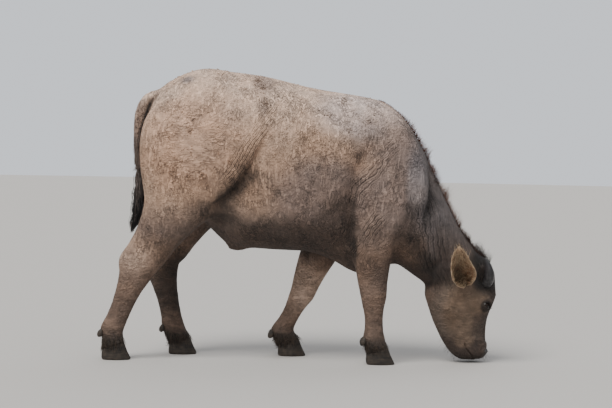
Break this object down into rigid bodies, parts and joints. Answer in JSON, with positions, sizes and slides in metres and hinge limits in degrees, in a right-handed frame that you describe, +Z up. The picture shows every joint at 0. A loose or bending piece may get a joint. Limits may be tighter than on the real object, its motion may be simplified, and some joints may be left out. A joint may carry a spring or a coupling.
{
  "type": "water buffalo",
  "caption": "Young swamp buffalo standing with its head lowered to graze, a life-size still model resting on its cloven feet.",
  "frame": {"origin": "on the floor, under the middle of the model's bounding box", "axes": "+X towards the head, +Y to the animal's left, +Z up"},
  "size_m": [1.5855, 0.5028, 1.1582],
  "materials": {
    "hide": "grey-brown hide under a skin of dried mud, sparse short hair",
    "face_hide": "grey-brown hide, darker at the muzzle and between the horns",
    "ear_hide": "thin hide with golden-brown hair inside the cup",
    "horn": "dark keratin with a grey sheen",
    "claw": "dark keratin, worn and dusty",
    "eye": "wet, nearly black",
    "tail_hair": "coarse black hair"
  },
  "bodies": {
    "root": {"torso": "hide", "neck": "hide", "head": "face_hide", "ear_right": "ear_hide", "ear_left": "ear_hide", "horn_right": "horn", "horn_left": "horn", "eye_right": "eye", "eye_left": "eye", "tail": "hide", "tail_switch": "tail_hair", "foreleg_right": "hide", "foreleg_left": "hide", "hindleg_right": "hide", "hindleg_left": "hide", "claw_foreleg_right_outer": "claw", "claw_foreleg_right_inner": "claw", "claw_foreleg_left_outer": "claw", "claw_foreleg_left_inner": "claw", "claw_hindleg_right_outer": "claw", "claw_hindleg_right_inner": "claw", "claw_hindleg_left_outer": "claw", "claw_hindleg_left_inner": "claw", "dewclaw_foreleg_right_outer": "claw", "dewclaw_foreleg_right_inner": "claw", "dewclaw_foreleg_left_outer": "claw", "dewclaw_foreleg_left_inner": "claw", "dewclaw_hindleg_right_outer": "claw", "dewclaw_hindleg_right_inner": "claw", "dewclaw_hindleg_left_outer": "claw", "dewclaw_hindleg_left_inner": "claw"}
  },
  "joints": []
}
